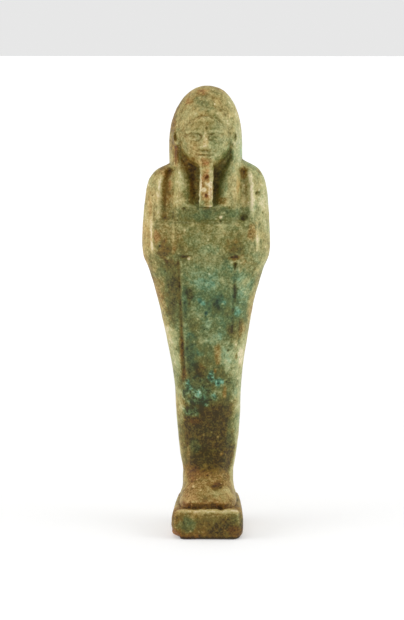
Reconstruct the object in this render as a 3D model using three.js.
// Ushabti: an Egyptian funerary figurine of solid faience, moulded in one with its small plinth.
// One solid. Millimetres, +Z up, the face looks along -Y, the origin is the middle of the underside.
//
// The figure is a stack of level sections. Each section is a closed curve round the figure's spine:
// a superellipse for the shrouded body, another for the wig, a rounded oblong for the plinth and a
// flat-faced pillar up the back, whichever reaches out furthest.
// The carving of the front (face, beard, lappets, arms, fists, incised lines) then moves the
// surface forwards or back along Y, as the mould pressed it.
// Columns of points follow the carving's own edges, so that each edge stays a clean line.

import * as THREE from 'three';

// ---- driving dimensions ----

const HEIGHT = 125; // sole to crown
const PLINTH = { top: 8.3, front: 14, back: 14, half: 9.65, keystone: 0.0045, corner: 9, bevel: 0.6 };
const LEAN = { from: 4.5, inwards: 0.8 }; // the plinth's sides lean in, from this height to its top
const CHIPS = { left: { wide: 2, high: 3.6 }, right: { wide: 0.7, high: 2.4 }, from: 6, full: 11 };
const PILLAR = { face: 13, half: 4.4, draft: 0.22 };
const TOE_TOP = 9.6; // top of the toes' short front face
const INSTEP = 18; // where the shins turn into the sloping feet
const FOREARMS = { bottom: 78, top: 88.2, proud: 0.8, half: 14.2 };
const FIST = { proud: 0.45, outer: 14.4 };
const PANEL_LINES = { top: 77, bottom: 43, deep: 0.3 }; // incised down both sides of the front
const LAPPET_END = 91.6; // lower edge of the wig's two front lappets
const NAPE_END = 97; // lower edge of the wig on the back
const WIG_DOME = 108.5; // above this the wig closes over as a dome
const SHOULDER_TOP = 105.2;
const SHOULDER_SOFT = 1.8; // softness of the crease between wig and shoulders
const STRIP = { top: 102, shallow: 0.9, deep: 1.9 }; // sunk between each lappet and arm
const FACE = { chin: 103.2, middle: 110.6, hairline: 117.4, half: 6.7, jaw: 3.9, front: 9.3, round: 2.9 };
const JAW_SOFT = 1.2; // softness of the crease between jaw and throat
const THROAT = { low: 7.2, high: 5.2 }; // how far forward, at the lappets' ends and at the chin
const HAIRLINE_SOFT = 0.8; // half the width of the wig's soft edge over the brow
const BEARD = { top: 104.4, bottom: 92, halfTop: 1.75, halfBottom: 2.1, frontTop: 10.6, frontBottom: 11.3 };
const EDGE = 0.3; // half the width of a carved step
const APART = 0.25; // least room between two of the front's lines, where the form is narrow

// Roundness of the sections: 2 is an ellipse, and more is squarer.
const BODY_POWER = { toes: 4, front: 2.4, back: 2.8 };
const TOES_ROUND = 14; // up to here the squarer section of the toes changes to that of the body
const WIG_POWER = { chest: 2.7, head: 2.15 };
const DOME_POWER = { width: 2.15, depth: 2.4 };

// Profiles: [height, value] at the levels where the form turns.
const SWAY = [[0, 0.6], [22, 0.6], [40, 0.5], [52, 0.25], [66, 0], [100, 0], [112, -0.1], [125, 0.3]];
const SPINE = [[0, 0], [8.3, 1.2], [14, 4], [20, 5], [40, 4.6], [60, 3.6], [80, 2.6], [104, 2.4]];
const LEGS_HALF = [
  [8.3, 8.1], [9.6, 7.9], [11, 7.4], [13, 7.1], [16, 7.1], [20, 7.7], [25, 8.4], [32, 9], [40, 9.3],
  [46, 10], [55, 11.5], [65, 13.5], [71, 15], [74.5, 16.2], [78, 17.6], [81.5, 17.95], [88, 17.6],
];
const LEFT_HALF = [...LEGS_HALF, [94, 17], [98, 16.3], [101, 14.6], [102.6, 12.2], [103.5, 9], [104.2, 3]];
const RIGHT_HALF = [...LEGS_HALF, [94, 17.2], [98, 16.6], [101, 15.4], [103, 13.2], [104.5, 9.6], [105.2, 3]];
const BODY_FRONT = [
  [8.3, 12.1], [9.6, 11.9], [10.5, 10.9], [12, 8.8], [14.5, 5.4], [17, 2.9], [20, 1.8], [25, 1.6],
  [32, 2.2], [40, 3.2], [50, 4.5], [60, 5.9], [70, 7.2], [78, 8], [90, 8], [96, 7.4], [100, 6.4],
  [102.6, 4.6], [105, 1],
];
const BODY_BACK = [
  [8.3, 12.2], [14, 11.6], [60, 11.5], [84, 11.6], [92, 11.3], [98, 10.4], [102, 8.4], [105, 5],
];
const WIG_HALF = [[88, 9.3], [100, 9.7], [103.5, 10.1], [108.5, 10.2]];
const WIG_FRONT = [[88, 9.9], [94, 9.8], [100, 9.2], [104, 8.8]];
const WIG_BACK = [[92, 12.8], [97, 13.2], [104, 13.6], [108.5, 13.4]];

// Lines that the columns follow up the front: the beard's side, the edge of the wig's opening, the
// lappet's outer edge, and the arm's inner edge as a share of the section's half-width.
const BEARD_LINE = [[20, 1.6], [78, 2], [92, 2.1], [104.4, 1.75]];
const OPENING_LINE = [[0, 3.4], [44, 3.6], [80, 3.7], [91.6, 3.2], [98, 4.4], [104, 6.2], [108.5, 7.1]];
const LAPPET_LINE = [
  [0, 5.6], [18, 5.3], [43, 6.2], [77, 7.7], [84, 8.4], [91.6, 9.3], [101, 9.3], [104.5, 8.3], [125, 8.2],
];
const ARM_SHARE = [
  [0, 0.76], [18, 0.8], [43, 0.76], [77, 0.72], [88, 0.72], [100, 0.76], [104.5, 0.9], [125, 0.91],
];

// Bumps and hollows of the face and the ears: [x, height, half-width, half-height, how far forward].
const FACE_MIDLINE = [
  [0, 104.3, 2.2, 1.3, 0.75], // chin
  [0, 111.6, 0.95, 1.9, 1.0], // bridge of the nose
  [0, 109.3, 1.05, 1.2, 1.6], // tip of the nose
  [0, 107.0, 1.9, 0.45, 0.6], // upper lip
  [0, 106.0, 1.6, 0.45, 0.6], // lower lip
];
const FACE_SIDES = [
  [3.5, 108.3, 2.2, 2.3, 0.45], // cheek
  [3.0, 111.6, 2.0, 1.2, -1.0], // socket
  [3.0, 111.4, 1.35, 0.62, 0.75], // eye
  [3.0, 113.3, 2.3, 0.45, 0.4], // brow
  [1.15, 108.8, 0.55, 0.55, 0.7], // wing of the nose
];
const EAR = [[7.9, 111, 0.8, 1.9, 1], [7.9, 111.2, 0.4, 1.1, -0.6]];

// ---- small helpers ----

const clamp01 = (t) => Math.min(1, Math.max(0, t));
const mix = (a, b, t) => a + (b - a) * t;

// 0 below a, 1 above b, and a smooth S between.
function step(a, b, t) {
  const s = clamp01((t - a) / (b - a));
  return s * s * (3 - 2 * s);
}

// 1 below a, 0 above b, and a smooth S between.
const fall = (a, b, t) => 1 - step(a, b, t);

// 1 between low and high, with soft ends.
const between = (low, high, soft, t) => step(low - soft, low + soft, t) * fall(high - soft, high + soft, t);

// A smooth curve through [height, value] points. Its slope at each point is the harmonic mean of
// the slopes beside it, so it never overshoots.
function through(points, z) {
  const last = points.length - 1;
  if (z <= points[0][0]) return points[0][1];
  if (z >= points[last][0]) return points[last][1];
  let i = 0;
  while (z > points[i + 1][0]) i++;
  const slope = (k) => (points[k + 1][1] - points[k][1]) / (points[k + 1][0] - points[k][0]);
  const tangent = (k) => {
    if (k === 0) return slope(0);
    if (k === last) return slope(last - 1);
    const [a, b] = [slope(k - 1), slope(k)];
    return a * b <= 0 ? 0 : (2 * a * b) / (a + b);
  };
  const span = points[i + 1][0] - points[i][0];
  const t = (z - points[i][0]) / span;
  const values = points[i][1] * (1 + 2 * t) * (1 - t) ** 2 + points[i + 1][1] * t * t * (3 - 2 * t);
  return values + span * t * (1 - t) * (tangent(i) * (1 - t) - tangent(i + 1) * t);
}

// The larger of two lengths, with the corner between them rounded over about k.
function blendMax(a, b, k) {
  const h = Math.max(k - Math.abs(a - b), 0) / k;
  return Math.max(a, b) + (h * h * k) / 4;
}

const bump = (x, z, [cx, cz, rx, rz, forward]) =>
  forward * Math.exp(-(((x - cx) / rx) ** 2) - ((z - cz) / rz) ** 2);

const total = (bumps, x, z) => bumps.reduce((sum, one) => sum + bump(x, z, one), 0);

// ---- level sections: reach from the spine in the direction (sin, cos), where cos 1 is forwards ----

function superellipse(sin, cos, half, depth, power) {
  return (Math.abs(sin / half) ** power + Math.abs(cos / depth) ** power) ** (-1 / power);
}

function bodyReach(sin, cos, z) {
  const half = through(sin < 0 ? LEFT_HALF : RIGHT_HALF, z);
  const spine = through(SPINE, z);
  const depth = cos > 0 ? spine + through(BODY_FRONT, z) : through(BODY_BACK, z) - spine;
  const ahead = mix(BODY_POWER.toes, BODY_POWER.front, step(TOE_TOP, TOES_ROUND, z));
  return superellipse(sin, cos, half, depth, mix(BODY_POWER.back, ahead, step(-0.3, 0.3, cos)));
}

// What the dome leaves of the wig's width or depth at a height.
function domeShare(z, power) {
  const rise = clamp01((z - WIG_DOME) / (HEIGHT - WIG_DOME));
  return Math.max((1 - rise ** power) ** (1 / power), 1e-4);
}

function wigReach(sin, cos, z) {
  const spine = through(SPINE, z);
  const depth = cos > 0 ? spine + through(WIG_FRONT, z) : through(WIG_BACK, z) - spine;
  const half = through(WIG_HALF, z) * domeShare(z, DOME_POWER.width);
  const power = mix(WIG_POWER.chest, WIG_POWER.head, step(100, 110, z));
  const end = mix(NAPE_END, LAPPET_END, step(-0.1, 0.3, cos));
  const thickness = 5 * (1 - step(end - EDGE, end + EDGE, z));
  return superellipse(sin, cos, half, depth * domeShare(z, DOME_POWER.depth), power) - thickness;
}

function pillarReach(sin, cos, z) {
  if (cos >= 0 || z > NAPE_END + 2 * EDGE) return 0;
  const rear = PILLAR.face - through(SPINE, z);
  const side = (PILLAR.half + PILLAR.draft * rear) / (Math.abs(sin) - PILLAR.draft * cos);
  return Math.min(side, rear / -cos);
}

function figureReach(sin, cos, z) {
  const body = z < SHOULDER_TOP ? bodyReach(sin, cos, z) : 0;
  const clothed = z < LAPPET_END - EDGE ? body : blendMax(body, wigReach(sin, cos, z), SHOULDER_SOFT);
  return Math.max(clothed, pillarReach(sin, cos, z));
}

function plinthReach(sin, cos) {
  return superellipse(sin, cos, PLINTH.half, cos > 0 ? PLINTH.front : PLINTH.back, PLINTH.corner);
}

// The plinth narrows a little to the back, its sides lean in at the top, and its front corners are
// knocked off at the foot. What is lost comes off the outer part of each section.
function plinthX(x, forward, z) {
  const chip = x < 0 ? CHIPS.left : CHIPS.right;
  const chipped = chip.wide * fall(0, chip.high, z) * step(CHIPS.from, CHIPS.full, forward);
  const leaned = LEAN.inwards * (Math.max(0, z - LEAN.from) / (PLINTH.top - LEAN.from)) ** 2;
  const out = Math.abs(x) / PLINTH.half;
  const kept = 1 - ((chipped + leaned) / PLINTH.half) * step(0.6, 1, out);
  return x * kept * (1 + PLINTH.keystone * forward);
}

// ---- carving of the front: how far forward the surface lies at (x, z) ----

// Where the arm's inner edge runs, on the side that x is on.
const armLine = (x, z) => through(ARM_SHARE, z) * figureReach(Math.sign(x) || 1, 0, z);

function faceForward(x, z) {
  const half = mix(FACE.jaw, FACE.half, step(FACE.chin - 2, FACE.middle, z));
  const tall = z < FACE.middle ? FACE.middle - FACE.chin : FACE.hairline + 4 - FACE.middle;
  const away = (Math.abs(x / half) ** 2.4 + Math.abs((z - FACE.middle) / tall) ** 3) ** 1.25;
  return FACE.front - FACE.round * away + total(FACE_MIDLINE, x, z) + total(FACE_SIDES, Math.abs(x), z);
}

function beardForward(x, z) {
  const down = clamp01((BEARD.top - z) / (BEARD.top - BEARD.bottom));
  const half = mix(BEARD.halfTop, BEARD.halfBottom, down);
  if (Math.abs(x) > half + EDGE / 2 || z < BEARD.bottom - EDGE || z > BEARD.top) return -Infinity;
  return mix(BEARD.frontTop, BEARD.frontBottom, down) - 0.35 * (x / half) ** 4;
}

// 1 inside the wig's opening, which frames the face and narrows to the foot of the beard.
function openingAt(x, z) {
  const half = through(OPENING_LINE, z);
  const over = Math.max(0, z - WIG_DOME) / (FACE.hairline - WIG_DOME);
  const inside = half * (1 - Math.hypot(x / half, over));
  const soft = mix(EDGE, HAIRLINE_SOFT, step(0.2, 0.8, over));
  return step(-soft, soft, inside) * step(LAPPET_END - EDGE, LAPPET_END + EDGE, z);
}

// The sunk strip between a lappet and an arm.
function stripDepth(x, z) {
  const across = between(through(LAPPET_LINE, z), armLine(x, z), EDGE, Math.abs(x));
  const along = step(FOREARMS.top - EDGE, FOREARMS.top + EDGE, z) * fall(STRIP.top - 0.6, STRIP.top + 1.4, z);
  return across * along * mix(STRIP.shallow, STRIP.deep, step(FOREARMS.top, STRIP.top - 4, z));
}

// The crossed forearms, which end in fists.
function armsForward(x, z) {
  const out = Math.abs(x);
  const lappet = through(LAPPET_LINE, z);
  const { bottom, top, half } = FOREARMS;
  const band = step(bottom - 2, bottom + 2.5, z) * fall(top - 1.2, top + 0.4, z);
  const forearm = FOREARMS.proud * fall(half - 1.4, half + 0.6, out);
  const fist = step(lappet - EDGE, lappet + EDGE, out) * fall(FIST.outer - 1.2, FIST.outer + 0.4, out);
  return band * (forearm + FIST.proud * fist);
}

function panelLineDepth(x, z) {
  const off = Math.abs(Math.abs(x) - through(LAPPET_LINE, z));
  return PANEL_LINES.deep * between(PANEL_LINES.bottom, PANEL_LINES.top, 1.5, z) * fall(EDGE, 3 * EDGE, off);
}

function carved(x, z, plain) {
  const throat = mix(THROAT.low, THROAT.high, step(LAPPET_END, FACE.chin, z));
  const within = Math.max(blendMax(throat, faceForward(x, z), JAW_SOFT), beardForward(x, z));
  const dressed = mix(plain, within, openingAt(x, z)) + total(EAR, Math.abs(x), z);
  return dressed + armsForward(x, z) - stripDepth(x, z) - panelLineDepth(x, z);
}

// ---- the net of points ----

// Columns between one line and the next, from the middle outwards. Each line itself is an edge: a
// pair of columns, one either side of it.
const FRONT_COLUMNS = [2, 4, 4, 2];
const SIDE_COLUMNS = 8; // from the arm's inner edge round to the widest point
const FLANK_COLUMNS = 7; // from there to the pillar
const PILLAR_COLUMNS = [PILLAR.half + 0.45, PILLAR.half, PILLAR.half / 2]; // foot and edge of its side, face
const HALVINGS = 24;

// Distances from the middle to the columns of one side of the front.
function frontPlaces(side, z) {
  const share = Math.min(1, domeShare(z, DOME_POWER.width) / domeShare(FACE.hairline, DOME_POWER.width));
  const lines = [BEARD_LINE, OPENING_LINE, LAPPET_LINE].map((line) => through(line, z) * share);
  lines.push(armLine(side, z));
  const places = [];
  let from = 0;
  lines.forEach((line, k) => {
    const before = Math.max(line - EDGE * share, from + APART * share);
    const after = Math.max(line + EDGE * share, before + EDGE * share);
    for (let i = 1; i <= FRONT_COLUMNS[k]; i++) places.push(mix(from, before, i / FRONT_COLUMNS[k]));
    places.push(after);
    from = after;
  });
  return places;
}

// The angle off straight ahead (forwards 1) or straight back (-1) at which a section reaches x.
function angleTo(x, reach, side, forwards) {
  let [low, high] = [0, Math.PI / 2];
  for (let i = 0; i < HALVINGS; i++) {
    const angle = (low + high) / 2;
    const across = reach(side * Math.sin(angle), forwards * Math.cos(angle)) * Math.sin(angle);
    if (across < x) low = angle;
    else high = angle;
  }
  return low;
}

// The same places drawn in, where need be, so that the outermost is within a limit.
function fitted(places, limit) {
  const share = Math.min(1, limit / Math.max(...places));
  return places.map((x) => x * share);
}

// Angles round one half of a section, from straight ahead to straight back.
function halfTurn(side, z, reach) {
  const front = fitted(frontPlaces(side, z), 0.94 * reach(side, 0));
  const angles = front.map((x) => angleTo(x, reach, side, 1));
  const arm = angles.at(-1);
  for (let j = 1; j <= SIDE_COLUMNS; j++) angles.push(mix(arm, Math.PI / 2, (j / SIDE_COLUMNS) ** 1.2));
  const rear = fitted(PILLAR_COLUMNS, 0.67 * reach(side, 0));
  const pillar = rear.map((x) => Math.PI - angleTo(x, reach, side, -1));
  for (let j = 1; j < FLANK_COLUMNS; j++) angles.push(mix(Math.PI / 2, pillar[0], j / FLANK_COLUMNS));
  return [...angles, ...pillar];
}

// A section's points, from straight ahead round the right, the back and the left.
function ring({ z, spread = 1, plinth = false }) {
  const sway = through(SWAY, z);
  const spine = plinth ? 0 : through(SPINE, z);
  const reach = plinth ? plinthReach : (sin, cos) => figureReach(sin, cos, z);
  const left = halfTurn(-1, z, reach).map((angle) => -angle);
  const angles = [0, ...halfTurn(1, z, reach), Math.PI, ...left.reverse()];
  return angles.map((angle) => {
    const [sin, cos] = [Math.sin(angle), Math.cos(angle)];
    const r = reach(sin, cos) * spread;
    const forward = r * cos - spine;
    if (plinth) return new THREE.Vector3(plinthX(r * sin, forward, z) + sway, -forward, z);
    return new THREE.Vector3(r * sin + sway, cos > 0 ? -carved(r * sin, z, forward) : -forward, z);
  });
}

// Levels above the plinth: [from, to, steps]. They crowd where the carving is fine.
const LEVELS = [
  [PLINTH.top, TOE_TOP, 1], [TOE_TOP, INSTEP, 5], [INSTEP, PANEL_LINES.bottom, 4],
  [PANEL_LINES.bottom, 70, 4], [70, FOREARMS.bottom + 2, 5], [FOREARMS.bottom + 2, FOREARMS.top - 1.2, 2],
  [FOREARMS.top - 1.2, FOREARMS.top + 0.4, 2], [FOREARMS.top + 0.4, LAPPET_END - EDGE, 1],
  [LAPPET_END - EDGE, LAPPET_END + EDGE, 1], [LAPPET_END + EDGE, NAPE_END - EDGE, 2],
  [NAPE_END - EDGE, NAPE_END + EDGE, 1], [NAPE_END + EDGE, 101, 2], [101, SHOULDER_TOP, 8],
  [SHOULDER_TOP, 114, 13], [114, FACE.hairline + 0.6, 5],
];
const DOME_LEVELS = 8;

// Every level from the middle of the underside to the crown.
function levels() {
  const ledge = 1 - PLINTH.bevel / PLINTH.half;
  const top = PLINTH.top - PLINTH.bevel;
  const sides = [PLINTH.bevel, CHIPS.left.high / 2, CHIPS.left.high, mix(CHIPS.left.high, top, 0.5), top];
  const rows = [
    { z: 0, spread: 0, plinth: true },
    { z: 0, spread: ledge, plinth: true },
    ...sides.map((z) => ({ z, plinth: true })),
    { z: PLINTH.top, spread: ledge, plinth: true },
    { z: PLINTH.top },
  ];
  for (const [from, to, steps] of LEVELS) {
    for (let i = 1; i <= steps; i++) rows.push({ z: mix(from, to, i / steps) });
  }
  const start = Math.asin((rows.at(-1).z - WIG_DOME) / (HEIGHT - WIG_DOME));
  for (let i = 1; i < DOME_LEVELS; i++) {
    rows.push({ z: mix(WIG_DOME, HEIGHT, Math.sin(mix(start, Math.PI / 2, i / DOME_LEVELS))) });
  }
  return [...rows, { z: HEIGHT, spread: 0 }];
}

// A closed skin over the rings, the first and last of which have shrunk to points. Every four-sided
// cell is split along its shorter diagonal, so that slanting edges of the carving stay clean.
function skin(rings) {
  const columns = rings[0].length;
  const top = rings.length - 1;
  const vertices = [rings[0][0], ...rings.slice(1, top).flat(), rings[top][0]];
  const at = (row, column) => {
    if (row === 0) return 0;
    return row === top ? vertices.length - 1 : 1 + (row - 1) * columns + (column % columns);
  };
  const index = [];
  for (let row = 0; row < top; row++) {
    for (let column = 0; column < columns; column++) {
      const [a, b] = [at(row, column), at(row, column + 1)];
      const [d, c] = [at(row + 1, column), at(row + 1, column + 1)];
      const rising = vertices[a].distanceTo(vertices[c]) < vertices[b].distanceTo(vertices[d]);
      if (row === 0) index.push(a, c, d);
      else if (row === top - 1) index.push(a, b, c);
      else if (rising) index.push(a, b, c, a, c, d);
      else index.push(a, b, d, b, c, d);
    }
  }
  const geometry = new THREE.BufferGeometry().setFromPoints(vertices);
  geometry.setIndex(index);
  geometry.computeVertexNormals();
  return geometry;
}

const faience = new THREE.MeshStandardMaterial({ color: 0x7d8a5c, roughness: 0.55, metalness: 0 });

const ushabti = new THREE.Group();
const figurine = new THREE.Mesh(skin(levels().map(ring)), faience);
figurine.name = 'ushabti';
ushabti.add(figurine);

export default ushabti;
